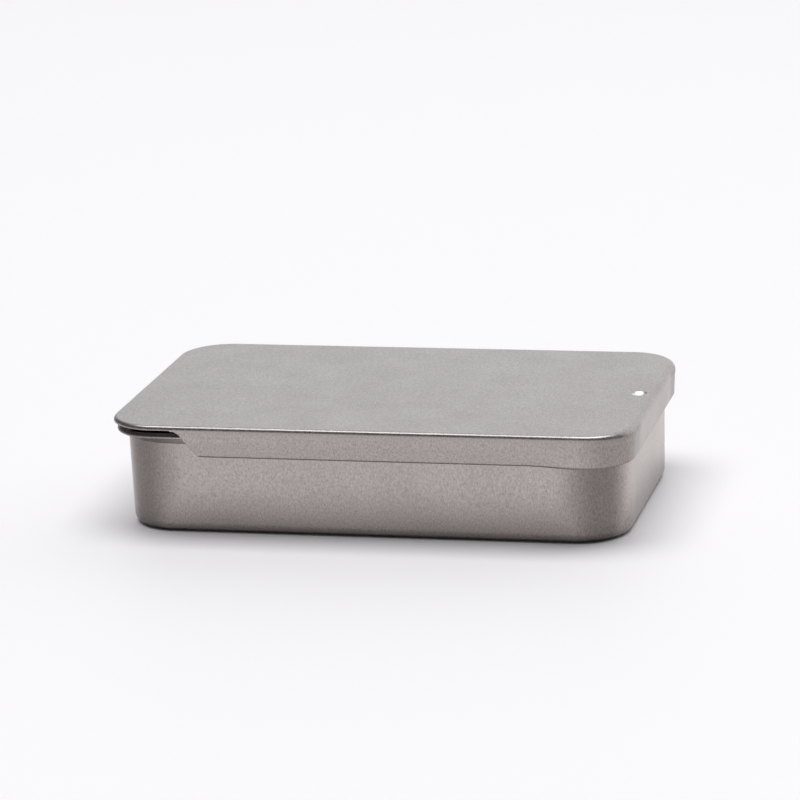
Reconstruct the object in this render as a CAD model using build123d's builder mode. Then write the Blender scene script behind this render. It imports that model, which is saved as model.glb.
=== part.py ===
"""Pocket tin of bare tinplate: a drawn tray and a lid that slides off one end.

Frame: +X runs along the tin towards the lid's closed end, which is the way the lid slides off, and
+Z is up. The origin is under the middle of the base. Sizes are in millimetres.
An inset is a distance in from the outside of the lid seen from above, which is the tin's outline.
"""

from build123d import *
from math import atan, cos, radians, sqrt, tan
import os

# Whole tin
tin_length = 80.0
tin_width = 50.0
tin_height = 17.4
corner_radius = 7.5
sheet = 0.25

# Lid
side_bend = 0.55  # outer radius of the fold along the long sides and the open end
end_bend = 1.1  # outer radius of the softer fold round the closed end
skirt_depth = 5.0
side_lean = 1.5  # how far the long skirts' lower edges come in, below the tray's flare
end_lean = 0.08  # the same for the closed end's nearly upright skirt
lean_below_rim = 0.1  # upright height left below the tray's rim before a skirt starts to lean
upright_run = 8.0  # length over which a leaning skirt turns upright, ahead of its corner
lip_depth = 0.65
lip_run = 10.6  # from the open end to the step where the lip becomes the skirt
step_depth = 0.15
step_run = 1.0  # from the step to the slanted end of the skirt
slant_run = 3.0  # length along the tin of the skirt's slanted end
slant_round = 0.8

# Dimple in the lid, which snaps over the end of the tray's rim
dimple_ball = 1.6
dimple_depth = 0.55
dimple_inset = 2.6

# Tray
side_gap = 0.15  # between the lid's skirt and the tray's rim
rim_gap = 1.0  # between the lid's panel and the tray's rim
rim_height = 0.72
rim_lean = 0.3  # how far the rim's upper edge comes in
flare_depth = 1.4
side_flare = 2.4  # spread of the flare along the long sides, which the lid slides on
end_flare = 0.8  # spread of the flare at the two ends
wall_radius = 8.2  # corner radius of the walls just under the flare
wall_taper = 1.0  # degrees
base_bend = 1.5

# Heights and places that follow from those
panel_underside = tin_height - sheet
skirt_bottom = tin_height - skirt_depth
lip_bottom = tin_height - lip_depth
rim_top = panel_underside - rim_gap
rim_bottom = rim_top - rim_height
lean_top = rim_bottom - lean_below_rim
lean_height = lean_top - skirt_bottom
crease_height = rim_bottom - flare_depth
rim_inset = sheet + side_gap
rim_radius = corner_radius - rim_inset
flare_angle = atan(side_flare / flare_depth)
fold_inset = max(side_bend, end_bend) + sheet
corner_x = tin_length / 2 - corner_radius
corner_y = tin_width / 2 - corner_radius
step_x = lip_run - tin_length / 2
slant_top_x = step_x + step_run
slant_bottom_x = slant_top_x + slant_run
upright_x = corner_x - upright_run
dimple_x = tin_length / 2 - dimple_inset


def inset_plane(path):
    """Plane across the start of a path that keeps the tin on its left: x is inset and y is height."""
    along = path.line % 0
    return Plane(path.line @ 0, x_dir=Vector(0, 0, 1).cross(along), z_dir=along)


def skirt_section(bend, lean):
    """The panel's edge, its fold, and a skirt whose lower edge comes in by lean."""
    lean_angle = atan(lean / lean_height)
    foot = lean + sheet / cos(lean_angle)
    inner_lean_top = lean_top - sheet * tan(lean_angle / 2)
    with BuildSketch() as section:
        with BuildLine():
            Line((fold_inset, tin_height), (bend, tin_height))
            RadiusArc((bend, tin_height), (0, tin_height - bend), -bend)
            Line((0, tin_height - bend), (0, lean_top))
            Line((0, lean_top), (lean, skirt_bottom))
            Line((lean, skirt_bottom), (foot, skirt_bottom))
            Line((foot, skirt_bottom), (sheet, inner_lean_top))
            Line((sheet, inner_lean_top), (sheet, tin_height - bend))
            RadiusArc((sheet, tin_height - bend), (bend, panel_underside), bend - sheet)
            Line((bend, panel_underside), (fold_inset, panel_underside))
            Line((fold_inset, panel_underside), (fold_inset, tin_height))
        make_face()
    return section.sketch


def lip_section():
    """The panel's edge, its fold and the short lip of the open end."""
    with BuildSketch() as section:
        with BuildLine():
            Line((fold_inset, tin_height), (side_bend, tin_height))
            RadiusArc((side_bend, tin_height), (0, tin_height - side_bend), -side_bend)
            Line((0, tin_height - side_bend), (0, lip_bottom))
            Line((0, lip_bottom), (sheet, lip_bottom))
            Line((sheet, lip_bottom), (sheet, tin_height - side_bend))
            RadiusArc((sheet, tin_height - side_bend), (side_bend, panel_underside), side_bend - sheet)
            Line((side_bend, panel_underside), (fold_inset, panel_underside))
            Line((fold_inset, panel_underside), (fold_inset, tin_height))
        make_face()
    return section.sketch


def half_dish(ball, mouth_height):
    """Half section of a round dish whose mouth lies at mouth_height and whose wall is part of a ball."""
    reach = sqrt(dimple_depth * (2 * ball - dimple_depth))
    with BuildSketch() as section:
        with BuildLine():
            Line((0, mouth_height), (reach, mouth_height))
            RadiusArc((reach, mouth_height), (0, mouth_height - dimple_depth), ball)
            Line((0, mouth_height - dimple_depth), (0, mouth_height))
        make_face()
    return section.sketch


def tray_outline(end_inset, side_inset, radius, inside):
    """A rounded oblong inside the tin's outline, less the sheet where inside is the sheet."""
    return RectangleRounded(
        tin_length - 2 * (end_inset + inside),
        tin_width - 2 * (side_inset + inside),
        radius - inside,
    )


def tray_form(inside):
    """Solid bounded by the tray's outer face, or by its inner face where inside is the sheet."""
    lift = inside * tan(flare_angle / 2)
    wall_top = (rim_inset + end_flare, rim_inset + side_flare, wall_radius, inside)
    with BuildPart() as form:
        with BuildSketch(Plane.XY.offset(crease_height + lift)):
            tray_outline(*wall_top)
        extrude(amount=inside - crease_height - lift, taper=wall_taper)
        fillet(form.faces().sort_by(Axis.Z)[0].edges(), base_bend - inside)
        with BuildSketch(Plane.XY.offset(crease_height + lift)):
            tray_outline(*wall_top)
        with BuildSketch(Plane.XY.offset(rim_bottom + lift)):
            tray_outline(rim_inset, rim_inset, rim_radius, inside)
        loft(ruled=True)
        with BuildSketch(Plane.XY.offset(rim_bottom + lift)):
            tray_outline(rim_inset, rim_inset, rim_radius, inside)
        with BuildSketch(Plane.XY.offset(rim_top)):
            tray_outline(rim_inset + rim_lean, rim_inset + rim_lean, rim_radius - rim_lean, inside)
        loft(ruled=True)
    return form.part


# Path round the lid's closed end, between the ends of its long sides
with BuildLine() as closed_end_edge:
    front_corner = JernArc((corner_x, -tin_width / 2), (1, 0), corner_radius, 90)
    end_side = Line(front_corner @ 1, (tin_length / 2, corner_y))
    JernArc(end_side @ 1, end_side % 1, corner_radius, 90)

# Path round the lid's open end, from one step to the other
with BuildLine() as open_end_edge:
    back_side = Line((step_x, tin_width / 2), (-corner_x, tin_width / 2))
    back_corner = JernArc(back_side @ 1, back_side % 1, corner_radius, 90)
    open_side = Line(back_corner @ 1, (-tin_length / 2, -corner_y))
    open_corner = JernArc(open_side @ 1, open_side % 1, corner_radius, 90)
    Line(open_corner @ 1, (step_x, -tin_width / 2))

# Tray: the form of the sheet's outer face, less the form of its inner face
with BuildPart() as tray:
    add(tray_form(0))
    add(tray_form(sheet), mode=Mode.SUBTRACT)

# Lid: a flat panel, the lip, the two long skirts with their slanted ends, and the closed end
with BuildPart() as slide_lid:
    with BuildSketch(Plane.XY.offset(panel_underside)):
        RectangleRounded(
            tin_length - 2 * fold_inset,
            tin_width - 2 * fold_inset,
            corner_radius - fold_inset,
        )
    extrude(amount=sheet)
    with BuildSketch(inset_plane(open_end_edge)):
        add(lip_section())
    sweep(path=open_end_edge.line)
    front_side = Plane((0, -tin_width / 2, 0), x_dir=(0, 1, 0), z_dir=(1, 0, 0))
    with BuildSketch(front_side.offset(step_x)):
        add(skirt_section(side_bend, side_lean))
    extrude(amount=upright_x - step_x)
    with BuildSketch(front_side.offset(upright_x)):
        add(skirt_section(side_bend, side_lean))
    with BuildSketch(front_side.offset(corner_x)):
        add(skirt_section(end_bend, end_lean))
    loft(ruled=True)
    mirror(about=Plane.XZ)
    with BuildSketch(inset_plane(closed_end_edge)):
        add(skirt_section(end_bend, end_lean))
    sweep(path=closed_end_edge.line)
    with BuildSketch(Plane.XZ):
        with BuildLine():
            slant = FilletPolyline(
                (step_x - step_run, lip_bottom - step_depth),
                (slant_top_x, lip_bottom - step_depth),
                (slant_bottom_x, skirt_bottom),
                (slant_bottom_x + slant_run, skirt_bottom),
                radius=slant_round,
            )
            Polyline(
                slant @ 1,
                (slant_bottom_x + slant_run, skirt_bottom - sheet),
                (step_x - step_run, skirt_bottom - sheet),
                slant @ 0,
            )
        make_face()
    extrude(amount=tin_width, both=True, mode=Mode.SUBTRACT)
    dimple_plane = Plane((dimple_x, 0, 0), x_dir=(1, 0, 0), z_dir=(0, -1, 0))
    with BuildSketch(dimple_plane):
        add(half_dish(dimple_ball + sheet, panel_underside))
    revolve(axis=Axis((dimple_x, 0, 0), (0, 0, 1)))
    with BuildSketch(dimple_plane):
        add(half_dish(dimple_ball, tin_height))
    revolve(axis=Axis((dimple_x, 0, 0), (0, 0, 1)), mode=Mode.SUBTRACT)

tray.part.label = "tray"
slide_lid.part.label = "slide_lid"

os.makedirs("parts", exist_ok=True)
export_step(tray.part, "parts/tray.step")
export_step(slide_lid.part, "parts/slide_lid.step")
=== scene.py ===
"""The looks of a slide-top tin of bare tinplate: a drawn tray, a lid that slides off, and their stage.

Lengths are in metres. The axes are the frame's: +X along the tin towards the lid's closed end, +Z up,
and the tin stands on z = 0. An inset is a distance in from the outside of the lid seen from above.
"""

from math import acos, atan2, cos, hypot, pi, radians, sin, sqrt, tan

import bmesh
import bpy
from bpy.props import FloatProperty, FloatVectorProperty, PointerProperty
from mathutils import Matrix, Vector


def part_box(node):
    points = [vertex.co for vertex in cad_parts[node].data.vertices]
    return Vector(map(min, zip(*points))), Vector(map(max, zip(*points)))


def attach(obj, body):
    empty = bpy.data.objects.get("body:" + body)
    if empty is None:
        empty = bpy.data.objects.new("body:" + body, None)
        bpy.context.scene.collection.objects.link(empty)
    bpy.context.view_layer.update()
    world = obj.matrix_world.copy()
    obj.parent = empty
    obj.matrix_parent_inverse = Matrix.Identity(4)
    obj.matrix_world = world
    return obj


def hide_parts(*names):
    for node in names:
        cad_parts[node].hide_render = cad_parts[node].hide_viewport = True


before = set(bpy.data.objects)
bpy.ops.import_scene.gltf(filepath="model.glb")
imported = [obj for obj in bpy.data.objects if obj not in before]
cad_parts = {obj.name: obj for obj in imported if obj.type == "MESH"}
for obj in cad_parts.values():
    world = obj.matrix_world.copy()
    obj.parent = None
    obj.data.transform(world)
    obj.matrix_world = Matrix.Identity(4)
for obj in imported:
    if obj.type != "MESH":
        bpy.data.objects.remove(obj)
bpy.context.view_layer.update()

bl_info = {
    "name": "Slide-top tin",
    "version": (1, 0, 0),
    "blender": (4, 5, 0),
    "location": "View3D > Sidebar > Tin",
    "description": "Builds a slide-top tinplate tin, its finishes and the stage it stands on",
    "category": "Object",
}

lid_low, lid_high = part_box("slide_lid")
tray_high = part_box("tray")[1]

half_length = lid_high.x
half_width = lid_high.y
tin_height = lid_high.z
skirt_bottom = lid_low.z
rim_top = tray_high.z
rim_inset = lid_high.x - tray_high.x

MM = 0.001
# Besides the drawn sheet, the layers carry a painted highlight on the burnished dimple, and painted shade
# together with the darker bare cut edges.
LAYERS = ("drawn", "burnish_and_highlight", "dull_and_shade")  # what each point of a pressing tells its material, from 0 to 1

# How the pressings are divided
LEVEL = 0.001 * MM  # a point nearer than this to a plane or a height counts as on it
MERGE = 0.002 * MM  # points nearer than this to each other are joined
SUPPORT = 0.1 * MM  # run of sheet between a fold of the lid and the next row of points
BEND_STEPS = 8  # steps round a bend or a fold
CORNER_STEPS = 18  # steps round a corner seen from above
TRAY_SUPPORT = 0.08 * MM  # run of sheet between a bend of the tray and the next row of points
TRAY_SPAN = 1.5 * MM  # longest run between rows of points on the tray
TRAY_SIDE_STEPS = 16  # steps along half of the tray's long side
TRAY_END_STEPS = 9  # steps along half of the tray's end
SLANT_EASE = 1.0 * MM  # run of the skirt between its slanted end and its first upright row of points
BASE_RUN = 1.0 * MM  # flat base between the base bend and the one face that fills the rest
PANEL_SPAN = 1.8 * MM  # longest run between rows of points on the panel, in from its edge
PANEL_STEPS = 7  # steps across the panel from a corner's middle to the dimple's square
SQUARE_STEPS = 4  # steps along half a side of the dimple's square
LEAN_STEPS = 4  # steps round the bend where a skirt starts to lean
LEAN_ROWS = (0.25, 0.5, 0.75, 0.95, 1.0)  # where the rows of points lie on the leaning part of a skirt
CURL_STEPS = 7  # steps round the curl of a skirt's lower edge
CRIMP_ROWS = ((0, 0), (0.1, 0.06), (0.5, 0.14), (0.9, 0.22), (1, 0.28))  # share of the crimp, depth in mm
LIP_STEPS = 3  # steps along the lip's straight sides
SKIRT_STEPS = 20  # steps along the leaning skirts
UPRIGHT_STEPS = 8  # steps along the stretch where a skirt turns upright
MOUTH_STEPS = 6  # steps down the soft edge round the dimple
BALL_STEPS = 12  # steps down the dimple's wall
LAST_STEP = 0.6  # share of a step that the face in the dimple's middle takes

# Where the finish changes
RIM_FADE = 0.2 * MM  # from the flare up to the rim
CREASE_FADE = 0.15 * MM  # above and below the crease
BASE_FADE = 9 * MM  # up the walls from the base
EDGE_WIDTH = 0.1 * MM  # up the skirt from its cut edge
EDGE_FADE = 0.35 * MM
FOLD_FADE = 0.03 * MM  # down from the panel to the fold
SKIRT_START = 0.3 * MM  # down from the panel to where the fold becomes the skirt
SKIRT_FADE = 0.5 * MM
END_START = 13 * MM  # from the closed end to where the fold's painted shade is as dark as along the sides
END_FADE = 7 * MM
DIMPLE_FADE = 0.4  # share of the dimple's depth over which it becomes burnished and takes its painted highlight
TRAY_SHADE_START = (3 * MM, 0)  # how far before a corner its painted shade starts, along the tin and across it
LID_SHADE_START = (1 * MM, 4 * MM)
TRAY_SHADE_ANGLES = (45, 84, 30)  # degrees round a corner: full painted shade, end of the shade, length of the fading
LID_SHADE_ANGLES = (26, 92, 10)

# Surface
NOISE_LOW, NOISE_HIGH = 0.3, 0.7  # most of a noise's values lie between these
SMUDGES = 120.0  # smudges to the metre
SMUDGE_ROUGHNESS = 0.04  # how far smudges change the roughness, up and down
GRAIN_ROUGHNESS = 0.06  # the same for the grain
CUT_ANGLE = radians(60)  # edges sharper than this are the sheet's cut edges

# Light from all round, by how far a direction lies to the back
DIM_UNTIL, BRIGHT_FROM = 0.35, 0.85


def length(name, description, default):
    """A size in metres that a user may change."""
    return FloatProperty(
        name=name, description=description, default=default, min=0.0, precision=6,
        unit="LENGTH", subtype="DISTANCE",
    )


def colour(name, description, default):
    """A linear colour that a user may change."""
    return FloatVectorProperty(
        name=name, description=description, default=default, size=3, min=0.0, max=1.0, subtype="COLOR",
    )


def factor(name, description, default, most=1.0):
    """A plain number that a user may change."""
    return FloatProperty(name=name, description=description, default=default, min=0.0, max=most)


def turn(name, description, default):
    """An angle that a user may change, given in degrees and kept in radians."""
    return FloatProperty(name=name, description=description, default=radians(default), subtype="ANGLE")


class TinSheet(bpy.types.PropertyGroup):
    """Sizes that both pressings share."""

    thickness: length("Sheet", "Thickness of the tinplate", 0.25 * MM)
    corner_radius: length("Corner radius", "Radius of the lid's corners seen from above", 7.5 * MM)
    cut_edge: length("Cut edge", "Rounding of the sheet's cut edges", 0.035 * MM)


class TinTray(bpy.types.PropertyGroup):
    """Sizes of the drawn tray."""

    rim_height: length("Rim height", "Height of the rim", 0.72 * MM)
    rim_lean: length("Rim lean", "How far the rim's upper edge comes in", 0.3 * MM)
    rim_bend: length("Rim bend", "Radius where the flare turns up into the rim", 0.35 * MM)
    flare_depth: length("Flare depth", "Height of the flare under the rim", 1.4 * MM)
    side_flare: length("Side flare", "Spread of the flare along the long sides", 2.4 * MM)
    end_flare: length("End flare", "Spread of the flare at the two ends", 0.8 * MM)
    crease_bend: length("Crease bend", "Radius of the crease under the flare", 0.3 * MM)
    wall_radius: length("Wall corner", "Corner radius of the walls just under the flare", 8.2 * MM)
    taper: turn("Taper", "How far the walls lean in towards the base", 1.0)
    base_bend: length("Base bend", "Radius of the edge between wall and base", 1.5 * MM)


class TinLid(bpy.types.PropertyGroup):
    """Sizes of the sliding lid."""

    side_bend: length("Side fold", "Outer radius of the fold on the long sides and open end", 0.55 * MM)
    end_bend: length("End fold", "Outer radius of the fold round the closed end", 1.1 * MM)
    side_lean: length("Side lean", "How far the long skirts come in at the bottom", 1.0 * MM)
    end_lean: length("End lean", "How far the closed end's skirt comes in at the bottom", 0.08 * MM)
    upright_depth: length("Upright depth", "Depth from the lid's top to where a skirt leans", 2.07 * MM)
    lean_bend: length("Lean bend", "Radius of the soft bend where a skirt starts to lean", 3.0 * MM)
    crimp_depth: length("Crimp depth", "Depth from the lid's top to the crimp round the skirt", 1.22 * MM)
    crimp: length("Crimp", "How far the crimp sets the skirt in", 0.05 * MM)
    curl: length("Curl", "Radius to which the skirt's lower edge curls in", 0.5 * MM)
    side_curl: turn("Side curl", "Turn of the long skirts' lower edges", 65)
    end_curl: turn("End curl", "Turn of the lower edge round the closed end", 30)
    upright_run: length("Upright run", "Length over which a skirt turns upright before its corner", 8.0 * MM)
    lip_depth: length("Lip depth", "Depth of the open end's lip", 0.65 * MM)
    lip_run: length("Lip run", "Length from the open end to the step in the lip", 10.6 * MM)
    step_depth: length("Step depth", "Drop of the small step beside the skirt's end", 0.15 * MM)
    step_run: length("Step run", "Length of the small step", 1.0 * MM)
    slant_run: length("Slant run", "Length along the tin of the skirt's slanted end", 3.0 * MM)
    slant_round: length("Slant round", "Rounding at both ends of the slant", 0.8 * MM)
    dimple_inset: length("Dimple inset", "Distance of the dimple's middle from the closed end", 2.6 * MM)
    dimple_depth: length("Dimple depth", "Depth of the dimple", 0.55 * MM)
    dimple_ball: length("Dimple ball", "Radius of the ball that pressed the dimple", 1.6 * MM)
    dimple_mouth: length("Dimple mouth", "Radius of the soft edge round the dimple", 0.3 * MM)


class TinFinish(bpy.types.PropertyGroup):
    """Colours and surface of the tinplate."""

    rolled_colour: colour("Rolled colour", "Rolled tinplate of the lid's panel", (0.375, 0.357, 0.352))
    drawn_colour: colour("Drawn colour", "Drawn tinplate of tray and skirt", (0.49, 0.445, 0.423))
    # Far lighter than the sheet: the dimple's burnish, and a painted highlight in it.
    burnish_and_highlight_colour: colour("Rubbed colour", "Tin burnished by the press and by hands", (0.80, 0.78, 0.76))
    # Painted shade for the rim, crease, base, corners, skirt and fold; also the darker colour of bare cut
    # edges.
    dull_and_shade_colour: colour("Dull colour", "Strained tinplate, and cut edges", (0.16, 0.14, 0.135))
    rolled_roughness: factor("Rolled roughness", "How much the rolled sheet scatters what it mirrors", 0.36)
    drawn_roughness: factor("Drawn roughness", "How much the drawn walls scatter what they mirror", 0.33)
    rubbed_roughness: factor("Rubbed roughness", "How much burnished tin scatters what it mirrors", 0.42)
    grain_width: length("Grain width", "Width of the finest grain", 0.20 * MM)
    rolled_contrast: factor("Rolled contrast", "Contrast of the rolled sheet's speckle", 0.38)
    drawn_contrast: factor("Drawn contrast", "Contrast of the drawn walls' grain", 0.25)
    drawn_stretch: factor("Drawn stretch", "Length of the drawn grain for its width", 2.0, most=20.0)
    grain_height: length("Grain height", "Height of the grain's relief", 0.004 * MM)
    # Painted shade: on the rim under the lid's lip, in the crease under the flare, and low on the walls near
    # the floor.
    rim_shade: factor("Rim dullness", "Dullness of the tray's rim", 1.0)
    crease_shade: factor("Crease dullness", "Dullness of the crease under the tray's flare", 0.6)
    base_shade: factor("Base dullness", "Dullness of the walls at the base", 0.55)
    # Painted shade round the corners of the tray and the lid.
    tray_corner_shade: factor("Tray dullness", "Dullness of the tray's strained corners", 0.85)
    # Painted shade over the whole skirt.
    skirt_shade: factor("Skirt dullness", "Dullness of the whole skirt", 0.16)
    lid_corner_shade: factor("Lid dullness", "Further dullness of the lid's strained corners", 0.4)
    # The cut edge's darkness: partly the bare edge, partly painted shadow where the skirt stands off the
    # wall.
    edge_dull_and_shade: factor("Edge dullness", "Dullness of the skirt's cut edge", 0.9)
    # Painted shade along the lid's fold, lighter round the closed end.
    fold_shade: factor("Fold dullness", "Dullness of the lid's fold", 0.3)
    end_fold_shade: factor("End fold dullness", "Dullness of the fold round the closed end", 0.05)


class TinStage(bpy.types.PropertyGroup):
    """Camera, light and floor."""

    azimuth: turn("Azimuth", "Camera's direction round the tin, from the long front side", 13.735)
    elevation: turn("Elevation", "Camera's height above the horizon", 15.106)
    roll: turn("Roll", "Camera's turn about its own axis", -2.272)
    distance: length("Distance", "Camera's distance from the middle of the lid", 585.3 * MM)
    shift_right: FloatProperty(
        name="Right", description="Camera's place to the right of the tin", default=0.19 * MM, unit="LENGTH")
    shift_up: FloatProperty(
        name="Up", description="Camera's place above its line to the lid", default=-1.89 * MM, unit="LENGTH")
    lens: factor("Lens", "Focal length in millimetres", 171.5, most=500.0)
    floor_radius: length("Floor radius", "Radius of the floor", 4.0)
    floor_colour: colour("Floor colour", "Paint of the floor", (0.86, 0.85, 0.87))
    floor_roughness: factor("Floor roughness", "How much the floor scatters what it mirrors", 0.6)
    world_colour: colour("World colour", "Colour of the light from all round", (1.0, 0.995, 1.0))
    world_light: factor("World light", "Strength of the light from behind the tin", 1.07, most=10.0)
    front_shade: factor("Front shade", "Share of that light that comes from the other sides", 0.13)
    side_light: factor("Side light", "How far the light from behind comes round to the closed end", 0.3)
    top_light: factor("Top light", "Power of the soft light overhead in watts", 98.0, most=1000.0)
    top_width: length("Top width", "Width of the soft light overhead", 3.6)
    top_depth: length("Top depth", "Depth of the soft light overhead, from front to back", 2.1)
    top_height: length("Top height", "Height of the soft light above the floor", 3.0)


def fillet_path(points, radii):
    """Points down the tray's wall: straight runs joined by arcs, with a point close to each arc's ends."""
    made = [Vector(points[0])]
    for before, corner, after, radius in zip(points, points[1:], points[2:], radii):
        back = (Vector(before) - Vector(corner)).normalized()
        on = (Vector(after) - Vector(corner)).normalized()
        half = acos(max(-1.0, min(1.0, back.dot(on)))) / 2
        reach = radius / tan(half)
        start = Vector(corner) + back * reach
        middle = Vector(corner) + (back + on).normalized() * radius / sin(half)
        first = (start - middle).normalized()
        last = (Vector(corner) + on * reach - middle).normalized()
        add_straight(made, start + back * TRAY_SUPPORT, TRAY_SPAN)
        made += [middle + radius * first.slerp(last, step / BEND_STEPS) for step in range(BEND_STEPS + 1)]
        made.append(made[-1] + on * TRAY_SUPPORT)
    add_straight(made, Vector(points[-1]), TRAY_SPAN)
    return made


def add_straight(points, end, span):
    """Adds points in even steps no longer than span from the last of points to end."""
    start = points[-1]
    steps = max(1, round((end - start).length / span + 0.49))
    points += [start.lerp(end, step / steps) for step in range(1, steps + 1)]


def chain(bm, points):
    """A line of vertices joined by edges; returns its edges."""
    verts = [bm.verts.new(point) for point in points]
    return [bm.edges.new(pair) for pair in zip(verts, verts[1:])]


def sweep(bm, edges, steps, step=(0, 0, 0), angle=0.0, centre=(0, 0, 0)):
    """Carries a chain along a step or round an upright axis, leaving faces; returns the last chain."""
    made = bmesh.ops.spin(
        bm, geom=edges, cent=centre, axis=(0, 0, 1), dvec=step, angle=angle, steps=steps, use_merge=False)
    return [part for part in made["geom_last"] if isinstance(part, bmesh.types.BMEdge)]


def skin(bm, stations):
    """Bridges one chain of points to the next through all the stations."""
    last = None
    for points in stations:
        following = chain(bm, points)
        if last:
            bmesh.ops.bridge_loops(bm, edges=last + following)
        last = following


def smooth_step(share):
    """Eases a share from 0 to 1 at both ends."""
    share = max(0.0, min(1.0, share))
    return share * share * (3 - 2 * share)


def corner_shade_share(place, flat_x, flat_y, degrees):
    """How much painted shade a corner takes: more and more from the long side on, and less towards the end.
    """
    full, gone, fading = (radians(turned) for turned in degrees)
    out_x = abs(place.x) - flat_x
    if out_x <= 0:
        return 0.0
    turned = atan2(out_x, max(0.0, abs(place.y) - flat_y))
    return smooth_step(turned / full) * smooth_step((gone - turned) / fading)


def layers(bm):
    """Adds the values that a pressing's points give its material."""
    return [bm.verts.layers.float.new(layer) for layer in LAYERS]


def rings(bm, edges, centre, sizes):
    """Extrudes a ring of edges inwards through (radius, drop) sizes; returns the last ring's vertices."""
    radius, drop = sizes[0]
    for next_radius, next_drop in sizes[1:]:
        made = bmesh.ops.extrude_edge_only(bm, edges=edges)["geom"]
        verts = [part for part in made if isinstance(part, bmesh.types.BMVert)]
        edges = [part for part in made if isinstance(part, bmesh.types.BMEdge)
                 and part.verts[0] in verts and part.verts[1] in verts]
        share = next_radius / radius
        bmesh.ops.scale(bm, vec=(share, share, 1), verts=verts, space=Matrix.Translation(-centre))
        bmesh.ops.translate(bm, vec=(0, 0, drop - next_drop), verts=verts)
        radius, drop = next_radius, next_drop
    return verts


def mirrored(bm, axis):
    """Adds the other half across the middle plane and joins the two."""
    whole = bm.verts[:] + bm.edges[:] + bm.faces[:]
    bmesh.ops.mirror(bm, geom=whole, matrix=Matrix.Identity(4), merge_dist=LEVEL, axis=axis)


def face_outwards(bm, inside):
    """Joins doubles and turns every face so that none looks towards the point inside."""
    bmesh.ops.remove_doubles(bm, verts=bm.verts, dist=MERGE)
    bmesh.ops.recalc_face_normals(bm, faces=bm.faces)
    bm.faces.ensure_lookup_table()
    votes = sum(face.calc_area() * face.normal.dot(face.calc_center_median() - inside) for face in bm.faces)
    if votes < 0:
        bmesh.ops.reverse_faces(bm, faces=bm.faces)


def pressing(name, bm, material, node_name):
    """Makes a piece from the outer face of a pressing: gives it its sheet, its cut edges and its place."""
    sheet = bpy.context.scene.tin_sheet
    mesh = bpy.data.meshes.new(name)
    for face in bm.faces:
        face.smooth = True
    bm.to_mesh(mesh)
    bm.free()
    piece = bpy.data.objects.new(name, mesh)
    bpy.context.scene.collection.objects.link(piece)
    mesh.materials.append(material)
    wall = piece.modifiers.new("Sheet", "SOLIDIFY")
    wall.thickness = sheet.thickness
    wall.offset = -1
    wall.use_even_offset = True
    wall.use_quality_normals = True
    edge = piece.modifiers.new("Cut edge", "BEVEL")
    edge.width = sheet.cut_edge
    edge.segments = 2
    edge.limit_method = "ANGLE"
    edge.angle_limit = CUT_ANGLE
    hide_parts(node_name)
    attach(piece, node_name)


def node(tree, kind, values, **options):
    """Adds a shader node, setting its options and the values of its sockets."""
    made = tree.nodes.new(kind)
    for key, value in options.items():
        setattr(made, key, value)
    for key, value in values.items():
        if isinstance(value, bpy.types.NodeSocket):
            tree.links.new(value, made.inputs[key])
        else:
            made.inputs[key].default_value = value
    return made


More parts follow.
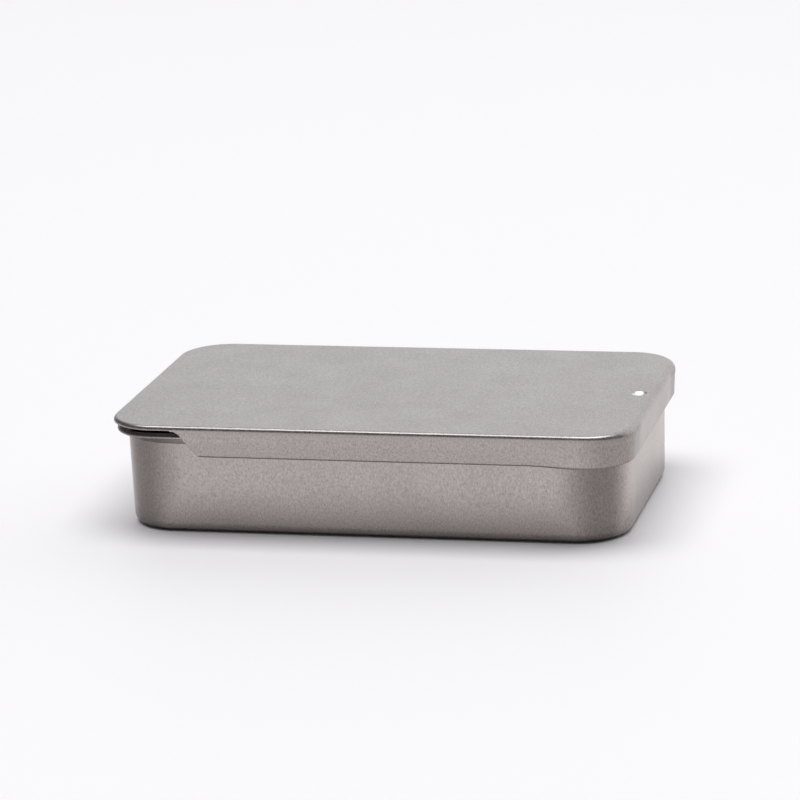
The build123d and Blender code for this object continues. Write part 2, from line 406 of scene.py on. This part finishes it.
def tinplate(name):
    """Bare tinplate: fine grain and soft smudges, with painted shade and darker bare cut edges where the
    third layer is set, and the burnished dimple painted lighter as a highlight.
    """
    finish = bpy.context.scene.tin_finish
    material = bpy.data.materials.new(name)
    material.use_nodes = True
    tree = material.node_tree
    tree.nodes.clear()
    place = node(tree, "ShaderNodeTexCoord", {}).outputs["Object"]
    drawn, burnish_and_highlight, dull_and_shade = [
        node(tree, "ShaderNodeAttribute", {}, attribute_name=layer).outputs["Fac"] for layer in LAYERS]
    fine = 1 / finish.grain_width
    grain_place = node(tree, "ShaderNodeMapping", {
        "Vector": place, "Scale": (fine, fine, fine / finish.drawn_stretch)})
    grain = node(tree, "ShaderNodeTexNoise", {
        "Vector": grain_place.outputs["Vector"],
        "Scale": 1.0, "Detail": 2.0, "Roughness": 0.65}).outputs["Fac"]
    smudge = node(tree, "ShaderNodeTexNoise", {
        "Vector": place, "Scale": SMUDGES, "Detail": 3.0, "Roughness": 0.55}).outputs["Fac"]

    def spread(noise, low, high):
        """A noise's usual values, brought to the range from low to high."""
        return node(tree, "ShaderNodeMapRange", {
            "Value": noise, "From Min": NOISE_LOW, "From Max": NOISE_HIGH,
            "To Min": low, "To Max": high}).outputs["Result"]

    def between(share, first, second):
        """A number that goes from first to second."""
        return node(tree, "ShaderNodeMapRange", {
            "Value": share, "From Min": 0.0, "From Max": 1.0,
            "To Min": first, "To Max": second}).outputs["Result"]

    def added(first, second):
        """The sum of two numbers."""
        return node(tree, "ShaderNodeMath", {0: first, 1: second}, operation="ADD").outputs["Value"]

    def mixed(share, first, second):
        """A colour that goes from first to second."""
        return node(tree, "ShaderNodeMix", {0: share, 6: first, 7: second}, data_type="RGBA").outputs[2]

    speckle = spread(grain, 0.0, 1.0)

    def speckled(base, contrast):
        """A colour with the grain's lighter and darker specks."""
        return mixed(speckle, [channel * (1 - contrast) for channel in base] + [1.0],
                     [channel * (1 + contrast) for channel in base] + [1.0])

    sheet = mixed(drawn, speckled(finish.rolled_colour, finish.rolled_contrast),
                  speckled(finish.drawn_colour, finish.drawn_contrast))
    # The dimple's burnish and its painted highlight.
    worn = mixed(burnish_and_highlight, sheet, [*finish.burnish_and_highlight_colour, 1.0])
    # Painted shade, and the darker bare cut edges, over the sheet.
    toned = mixed(dull_and_shade, worn, speckled(finish.dull_and_shade_colour, finish.drawn_contrast))
    unevenness = added(spread(grain, -GRAIN_ROUGHNESS, GRAIN_ROUGHNESS),
                       spread(smudge, -SMUDGE_ROUGHNESS, SMUDGE_ROUGHNESS))
    rough_sheet = added(between(drawn, finish.rolled_roughness, finish.drawn_roughness), unevenness)
    rough = between(burnish_and_highlight, rough_sheet, finish.rubbed_roughness)
    relief = node(tree, "ShaderNodeBump", {
        "Strength": 1.0, "Distance": finish.grain_height, "Height": grain})
    shader = node(tree, "ShaderNodeBsdfPrincipled", {
        "Base Color": toned, "Metallic": 1.0, "Roughness": rough, "Normal": relief.outputs["Normal"]})
    node(tree, "ShaderNodeOutputMaterial", {"Surface": shader.outputs["BSDF"]})
    return material


class TIN_OT_tray(bpy.types.Operator):
    """Build the drawn tray."""

    bl_idname = "tin.tray"
    bl_label = "Tray"

    def execute(self, context):
        tray, sheet = context.scene.tin_tray, context.scene.tin_sheet
        rim_bottom = rim_top - tray.rim_height
        crease = rim_bottom - tray.flare_depth
        wall_top = rim_inset + tray.side_flare
        foot = wall_top + crease * tan(tray.taper)
        side_face = fillet_path(
            [(rim_inset + tray.rim_lean, rim_top), (rim_inset, rim_bottom), (wall_top, crease), (foot, 0),
             (foot + tray.base_bend + BASE_RUN, 0)],
            [tray.rim_bend, tray.crease_bend, tray.base_bend])
        rows = []
        for inset, height in side_face:
            flared = max(0.0, min(1.0, (rim_bottom - height) / tray.flare_depth))
            nominal = rim_inset + tray.side_flare * flared
            widest = sheet.corner_radius - rim_inset
            radius = widest + (tray.wall_radius - widest) * flared - (inset - nominal)
            end_inset = inset - (tray.side_flare - tray.end_flare) * flared
            rows.append((half_length - end_inset - radius, half_width - inset - radius, radius, height))
        bm = bmesh.new()
        skin(bm, self.stations(rows))
        mirrored(bm, "X")
        mirrored(bm, "Y")
        bmesh.ops.remove_doubles(bm, verts=bm.verts, dist=MERGE)
        base_edge = [edge for edge in bm.edges if edge.is_boundary and edge.verts[0].co.z < LEVEL]
        bmesh.ops.contextual_create(bm, geom=base_edge)
        face_outwards(bm, Vector((0, 0, tin_height / 2)))
        self.mark(bm, rim_bottom, crease)
        material = tinplate("drawn_tinplate")
        pressing("tray_pressing", bm, material, "tray")
        return {"FINISHED"}

    def stations(self, rows):
        """The wall's section, from the middle of the back round one corner to the middle of the end."""
        for step in range(TRAY_SIDE_STEPS + 1):
            yield [(x * step / TRAY_SIDE_STEPS, y + radius, height) for x, y, radius, height in rows]
        for step in range(1, CORNER_STEPS + 1):
            turned = pi / 2 * step / CORNER_STEPS
            yield [(x + radius * sin(turned), y + radius * cos(turned), height)
                   for x, y, radius, height in rows]
        for step in range(1, TRAY_END_STEPS + 1):
            yield [(x + radius, y * (1 - step / TRAY_END_STEPS), height) for x, y, radius, height in rows]

    def mark(self, bm, rim_bottom, crease):
        """Marks the drawn sheet and painted shade on the tray: on its rim under the lid, in its crease, low
        on its walls near the floor and round its corners.
        """
        tray, finish = bpy.context.scene.tin_tray, bpy.context.scene.tin_finish
        drawn, _, dull_and_shade = layers(bm)
        before_x, before_y = TRAY_SHADE_START
        flat_x = half_length - rim_inset - tray.end_flare - tray.wall_radius - before_x
        flat_y = half_width - rim_inset - tray.side_flare - tray.wall_radius - before_y
        for vert in bm.verts:
            height = vert.co.z
            vert[drawn] = 1.0
            # Painted shade on the rim, in the crease, near the base and round the corners.
            vert[dull_and_shade] = max(
                finish.rim_shade * smooth_step((height - rim_bottom) / RIM_FADE),
                finish.crease_shade * smooth_step(1 - abs(height - crease) / CREASE_FADE),
                finish.base_shade * smooth_step(1 - height / BASE_FADE),
                finish.tray_corner_shade * corner_shade_share(vert.co, flat_x, flat_y, TRAY_SHADE_ANGLES))


class TIN_OT_lid(bpy.types.Operator):
    """Build the lid: panel, lip, skirts and dimple."""

    bl_idname = "tin.lid"
    bl_label = "Lid"

    def skirt(self, upright):
        """Insets and heights from the middle of a corner over the panel, round the fold and down the skirt.

        The skirt leans as the long sides' does where upright is 0, and as the closed end's where it is 1.
        """
        lid, sheet = bpy.context.scene.tin_lid, bpy.context.scene.tin_sheet
        bend = lid.side_bend
        fold_start = Vector((bend + SUPPORT, tin_height))
        lean = lid.side_lean + (lid.end_lean - lid.side_lean) * upright
        curl = lid.side_curl + (lid.end_curl - lid.side_curl) * upright
        points = [Vector((sheet.corner_radius, tin_height))]
        add_straight(points, Vector((lid.dimple_inset + self.square_half(), tin_height)), PANEL_SPAN)
        square_edge = points[-1]
        for step in range(1, 2 * SQUARE_STEPS + 1):
            points.append(square_edge.lerp(fold_start, step / (2 * SQUARE_STEPS)))
        for step in range(BEND_STEPS + 1):
            turned = pi / 2 * step / BEND_STEPS
            points.append(Vector((bend - bend * sin(turned), tin_height - bend + bend * cos(turned))))
        for drop in (lid.lip_depth, lid.lip_depth + lid.step_depth):
            points.append(Vector((0, tin_height - drop)))
        for share, depth in CRIMP_ROWS:
            points.append(Vector((lid.crimp * share, tin_height - lid.crimp_depth - depth * MM)))
        top = tin_height - lid.upright_depth
        angle = atan2(lean, top - skirt_bottom)
        reach = lid.lean_bend * tan(angle / 2)
        for step in range(LEAN_STEPS + 1):
            turned = angle * step / LEAN_STEPS
            points.append(Vector((lid.crimp + lid.lean_bend * (1 - cos(turned)),
                                  top + reach - lid.lean_bend * sin(turned))))
        curl_top = skirt_bottom + lid.curl * (sin(angle + curl) - sin(angle))
        start = points[-1]
        run = (start.y - curl_top) * tan(angle)
        points += [start.lerp(Vector((start.x + run, curl_top)), share) for share in LEAN_ROWS]
        curl_start = points[-1].x
        for step in range(1, CURL_STEPS + 1):
            turned = angle + curl * step / CURL_STEPS
            points.append(Vector((curl_start + lid.curl * (cos(angle) - cos(turned)),
                                  curl_top - lid.curl * (sin(turned) - sin(angle)))))
        return points

    def square_half(self):
        """Half the side of the square of flat panel that the dimple is pressed in."""
        lid = bpy.context.scene.tin_lid
        return lid.dimple_inset - lid.end_bend - SUPPORT

    def slant(self, height):
        """Place along the tin of the skirt's slanted end at a height."""
        lid = bpy.context.scene.tin_lid
        step_x = lid.lip_run - half_length
        top = Vector((step_x + lid.step_run, tin_height - lid.lip_depth - lid.step_depth))
        foot = Vector((top.x + lid.slant_run, skirt_bottom))
        angle = atan2(top.y - foot.y, foot.x - top.x)
        radius = lid.slant_round
        reach = radius * tan(angle / 2)
        if height > top.y - reach * sin(angle):
            return top.x - reach + sqrt(max(0.0, radius ** 2 - (height - top.y + radius) ** 2))
        if height < foot.y + reach * sin(angle):
            return foot.x + reach - sqrt(max(0.0, radius ** 2 - (foot.y + radius - height) ** 2))
        return top.x + (top.y - height) / tan(angle)

    def execute(self, context):
        lid, sheet = context.scene.tin_lid, context.scene.tin_sheet
        corner_x, corner_y = half_length - sheet.corner_radius, half_width - sheet.corner_radius
        dimple_half = self.square_half()
        side = self.skirt(0)
        fold_bottom = tin_height - lid.side_bend
        lip_rows = next(row for row, point in enumerate(side) if point.y < fold_bottom - LEVEL) + 1
        step_x = lid.lip_run - half_length
        slant_start = self.slant(side[lip_rows].y)
        slant_end = self.slant(skirt_bottom)
        upright_x = corner_x - lid.upright_run
        bm = bmesh.new()

        def across(points, x):
            """Puts a section's insets and heights on the front side at a place along the tin."""
            return [(x, inset - half_width, height) for inset, height in points]

        def to_middle(edges):
            """Carries a section from the end of a corner to the middle of the tin's width."""
            near = sweep(bm, edges, PANEL_STEPS, step=(0, (corner_y - dimple_half) / PANEL_STEPS, 0))
            return sweep(bm, near, SQUARE_STEPS, step=(0, dimple_half / SQUARE_STEPS, 0))

        lip = chain(bm, across(side[:lip_rows], step_x))
        lip_corner = sweep(bm, lip, LIP_STEPS, step=((-corner_x - step_x) / LIP_STEPS, 0, 0))
        to_middle(sweep(bm, lip_corner, CORNER_STEPS, angle=-pi / 2, centre=(-corner_x, -corner_y, 0)))
        small_step = chain(bm, across(side[:lip_rows + 1], step_x))
        sweep(bm, small_step, 1, step=(slant_start - step_x, 0, 0))
        slanted = [(slant_start if row <= lip_rows else self.slant(point.y), point.x - half_width, point.y)
                   for row, point in enumerate(side)]
        straight_x = slant_end + SLANT_EASE
        run = upright_x - straight_x
        beside = [(x + SUPPORT, y, z) for x, y, z in slanted]
        straight = [across(side, straight_x + run * step / SKIRT_STEPS) for step in range(SKIRT_STEPS + 1)]
        skin(bm, [slanted, beside] + straight)
        shares = [step / UPRIGHT_STEPS for step in range(UPRIGHT_STEPS + 1)]
        skin(bm, [across(self.skirt(smooth_step(share)), upright_x + lid.upright_run * share)
                  for share in shares])
        corner = chain(bm, across(self.skirt(1), corner_x))
        to_middle(sweep(bm, corner, CORNER_STEPS, angle=pi / 2, centre=(corner_x, -corner_y, 0)))
        bmesh.ops.remove_doubles(bm, verts=bm.verts, dist=MERGE)
        middle = [edge for edge in bm.edges if all(
            vert.co.z > tin_height - LEVEL and abs(vert.co.y + corner_y) < LEVEL
            and abs(vert.co.x) < corner_x + LEVEL for vert in edge.verts)]
        to_middle(middle)
        mirrored(bm, "Y")
        self.widen_end_fold(bm, corner_x, corner_y)
        self.dimple(bm, dimple_half)
        face_outwards(bm, Vector((0, 0, tin_height / 2)))
        self.mark(bm)
        material = tinplate("rolled_tinplate")
        pressing("lid_pressing", bm, material, "slide_lid")
        return {"FINISHED"}

    def widen_end_fold(self, bm, corner_x, corner_y):
        """Widens the fold round the closed end's corners, from the side fold's radius to the end fold's."""
        lid, sheet = bpy.context.scene.tin_lid, bpy.context.scene.tin_sheet
        square_edge = lid.dimple_inset + self.square_half()

        def spread(value, fold, reach):
            """Where a distance from the fold's outside goes when the fold widens, out to its reach."""
            if value < lid.side_bend:
                return value * fold / lid.side_bend
            if value < reach:
                return fold + (value - lid.side_bend) * (reach - fold) / (reach - lid.side_bend)
            return value

        for vert in bm.verts:
            out = Vector((vert.co.x - corner_x, max(0.0, abs(vert.co.y) - corner_y), 0))
            if out.x < LEVEL:
                continue
            if vert.co.y < 0:
                out.y = -out.y
            fold = lid.side_bend + (lid.end_bend - lid.side_bend) * smooth_step(
                atan2(out.x, abs(out.y)) / (pi / 2))
            inset = sheet.corner_radius - out.length
            moved = out.normalized() * (inset - spread(inset, fold, square_edge))
            depth = spread(tin_height - vert.co.z, fold, lid.upright_depth)
            vert.co = Vector((vert.co.x + moved.x, vert.co.y + moved.y, tin_height - depth))

    def mark(self, bm):
        """Marks where the lid is drawn, paints shade over its skirt, its fold and its corners, darkens the
        skirt's cut edge partly as bare edge and partly as painted shadow, and marks the dimple, which is
        burnished and painted light as a highlight.
        """
        lid, finish = bpy.context.scene.tin_lid, bpy.context.scene.tin_finish
        corner_radius = bpy.context.scene.tin_sheet.corner_radius
        drawn, burnish_and_highlight, dull_and_shade = layers(bm)
        before_x, before_y = LID_SHADE_START
        flat_x = half_length - corner_radius - before_x
        flat_y = half_width - corner_radius - before_y
        for vert in bm.verts:
            depth = tin_height - vert.co.z
            up = vert.co.z - skirt_bottom
            below_step = depth > lid.lip_depth + lid.step_depth + SUPPORT
            on_slant = below_step and vert.co.x < 0 and vert.co.x - self.slant(vert.co.z) < SUPPORT / 2
            # A dark line along the skirt's cut edges, the slant too: partly bare edge, partly painted shadow
            # under the skirt.
            at_edge = 1.0 if on_slant else smooth_step(1 - (up - EDGE_WIDTH) / EDGE_FADE)
            on_skirt = smooth_step((depth - SKIRT_START) / SKIRT_FADE)
            at_end = smooth_step((vert.co.x - half_length + END_START) / END_FADE)
            on_fold = smooth_step(depth / FOLD_FADE) * (1 - on_skirt)
            fold_shade = finish.fold_shade + (finish.end_fold_shade - finish.fold_shade) * at_end
            shaded = finish.lid_corner_shade * corner_shade_share(vert.co, flat_x, flat_y, LID_SHADE_ANGLES)
            vert[drawn] = on_skirt
            # Painted shade over the skirt, its fold and its corners, and a dark line on the cut edge, partly
            # bare edge and partly painted shadow under the skirt.
            vert[dull_and_shade] = max(
                finish.edge_dull_and_shade * at_edge, fold_shade * on_fold,
                on_skirt * (finish.skirt_shade + shaded))
            from_dimple = hypot(vert.co.x - half_length + lid.dimple_inset, vert.co.y)
            # The burnished dimple, painted light as a highlight and kept free of painted shade.
            if from_dimple < lid.dimple_ball:
                vert[burnish_and_highlight] = smooth_step(depth / (DIMPLE_FADE * lid.dimple_depth))
                vert[dull_and_shade] = 0.0

    def dimple(self, bm, half):
        """Cuts a square out of the panel and presses a round dish there."""
        lid = bpy.context.scene.tin_lid
        centre = Vector((half_length - lid.dimple_inset, 0, tin_height))
        bmesh.ops.remove_doubles(bm, verts=bm.verts, dist=MERGE)
        inside = [face for face in bm.faces
                  if abs(face.calc_center_median().x - centre.x) < half
                  and abs(face.calc_center_median().y) < half
                  and face.calc_center_median().z > tin_height - LEVEL]
        square = list(dict.fromkeys(
            edge for face in inside for edge in face.edges
            if any(other not in inside for other in edge.link_faces)))
        bmesh.ops.delete(bm, geom=inside, context="FACES")
        both = lid.dimple_ball + lid.dimple_mouth
        steepest = acos(1 - lid.dimple_depth / both)
        sizes = []
        for step in range(MOUTH_STEPS + 1):
            slope = steepest * step / MOUTH_STEPS
            sizes.append((both * sin(steepest) - lid.dimple_mouth * sin(slope),
                          lid.dimple_mouth * (1 - cos(slope))))
        for step in range(1, BALL_STEPS + 1):
            slope = steepest * (1 - step / (BALL_STEPS + LAST_STEP))
            sizes.append((lid.dimple_ball * sin(slope),
                          sizes[MOUTH_STEPS][1] + lid.dimple_ball * (cos(slope) - cos(steepest))))
        ring = bmesh.ops.create_circle(
            bm, segments=len(square), radius=sizes[0][0], matrix=Matrix.Translation(centre))["verts"]
        ring_edges = list(dict.fromkeys(edge for vert in ring for edge in vert.link_edges))
        bmesh.ops.bridge_loops(bm, edges=square + ring_edges)
        last = rings(bm, ring_edges, centre, sizes)
        bmesh.ops.contextual_create(bm, geom=last)


class TIN_OT_stage(bpy.types.Operator):
    """Set up the floor, the lights and the camera."""

    bl_idname = "tin.stage"
    bl_label = "Stage"

    def execute(self, context):
        stage = context.scene.tin_stage
        self.floor(stage)
        self.lights(stage)
        self.camera(stage)
        context.scene.view_settings.view_transform = "Standard"
        return {"FINISHED"}

    def floor(self, stage):
        """A wide pale floor."""
        bm = bmesh.new()
        bmesh.ops.create_circle(bm, cap_ends=True, segments=96, radius=stage.floor_radius)
        mesh = bpy.data.meshes.new("floor")
        bm.to_mesh(mesh)
        bm.free()
        floor = bpy.data.objects.new("floor", mesh)
        bpy.context.scene.collection.objects.link(floor)
        material = bpy.data.materials.new("pale_floor")
        material.use_nodes = True
        shader = material.node_tree.nodes["Principled BSDF"]
        shader.inputs["Base Color"].default_value = (*stage.floor_colour, 1)
        shader.inputs["Roughness"].default_value = stage.floor_roughness
        mesh.materials.append(material)

    def lights(self, stage):
        """Bright light from behind and a little from the closed end, dim light from all other sides, and one
        broad soft light overhead.
        """
        world = bpy.data.worlds.new("studio")
        world.use_nodes = True
        bpy.context.scene.world = world
        tree = world.node_tree
        background = tree.nodes["Background"]
        direction = node(tree, "ShaderNodeTexCoord", {}).outputs["Generated"]
        split = node(tree, "ShaderNodeSeparateXYZ", {"Vector": direction})
        behind = node(tree, "ShaderNodeMath", {
            0: split.outputs["X"], 1: stage.side_light, 2: split.outputs["Y"]}, operation="MULTIPLY_ADD")
        back = node(tree, "ShaderNodeMapRange", {
            "Value": behind.outputs["Value"], "From Min": DIM_UNTIL, "From Max": BRIGHT_FROM,
            "To Min": stage.front_shade * stage.world_light, "To Max": stage.world_light},
            interpolation_type="SMOOTHSTEP")
        tree.links.new(back.outputs["Result"], background.inputs["Strength"])
        background.inputs["Color"].default_value = (*stage.world_colour, 1.0)
        lamp = bpy.data.lights.new("overhead", "AREA")
        lamp.shape = "RECTANGLE"
        lamp.size = stage.top_width
        lamp.size_y = stage.top_depth
        lamp.energy = stage.top_light
        overhead = bpy.data.objects.new("overhead", lamp)
        overhead.location = (0, 0, stage.top_height)
        bpy.context.scene.collection.objects.link(overhead)

    def camera(self, stage):
        """A long lens in front of the tin, a little to its closed end and a little above it."""
        turned = (Matrix.Rotation(stage.azimuth, 4, "Z") @ Matrix.Rotation(pi / 2 - stage.elevation, 4, "X")
                  @ Matrix.Rotation(stage.roll, 4, "Z"))
        lid_middle = Vector((0, 0, tin_height))
        away = Vector((stage.shift_right, stage.shift_up, stage.distance))
        data = bpy.data.cameras.new("camera")
        data.lens = stage.lens
        data.sensor_width = 36.0
        data.clip_start, data.clip_end = 0.01, 20.0
        camera = bpy.data.objects.new("camera", data)
        camera.matrix_world = Matrix.Translation(lid_middle + turned @ away) @ turned
        bpy.context.scene.collection.objects.link(camera)
        bpy.context.scene.camera = camera


class TIN_PT_panel(bpy.types.Panel):
    """Lists the tin's pieces and its stage."""

    bl_idname = "TIN_PT_panel"
    bl_label = "Slide-top tin"
    bl_space_type = "VIEW_3D"
    bl_region_type = "UI"
    bl_category = "Tin"

    def draw(self, context):
        for operator in OPERATORS:
            self.layout.operator(operator.bl_idname)
        for group in GROUPS:
            box = self.layout.box()
            settings = getattr(context.scene, group)
            box.label(text=settings.bl_rna.description)
            for name in settings.__annotations__:
                box.prop(settings, name)


GROUPS = {
    "tin_sheet": TinSheet,
    "tin_tray": TinTray,
    "tin_lid": TinLid,
    "tin_finish": TinFinish,
    "tin_stage": TinStage,
}
OPERATORS = (TIN_OT_tray, TIN_OT_lid, TIN_OT_stage)


def register():
    """Registers the classes and hangs the settings on the scene."""
    for kind in (*GROUPS.values(), *OPERATORS, TIN_PT_panel):
        bpy.utils.register_class(kind)
    for name, group in GROUPS.items():
        setattr(bpy.types.Scene, name, PointerProperty(type=group))


def unregister():
    """Takes the settings and the classes away again."""
    for name in GROUPS:
        delattr(bpy.types.Scene, name)
    for kind in reversed((*GROUPS.values(), *OPERATORS, TIN_PT_panel)):
        bpy.utils.unregister_class(kind)


def main():
    """Builds the tin and its stage."""
    register()
    bpy.ops.tin.tray()
    bpy.ops.tin.lid()
    bpy.ops.tin.stage()


if __name__ == "__main__":
    main()
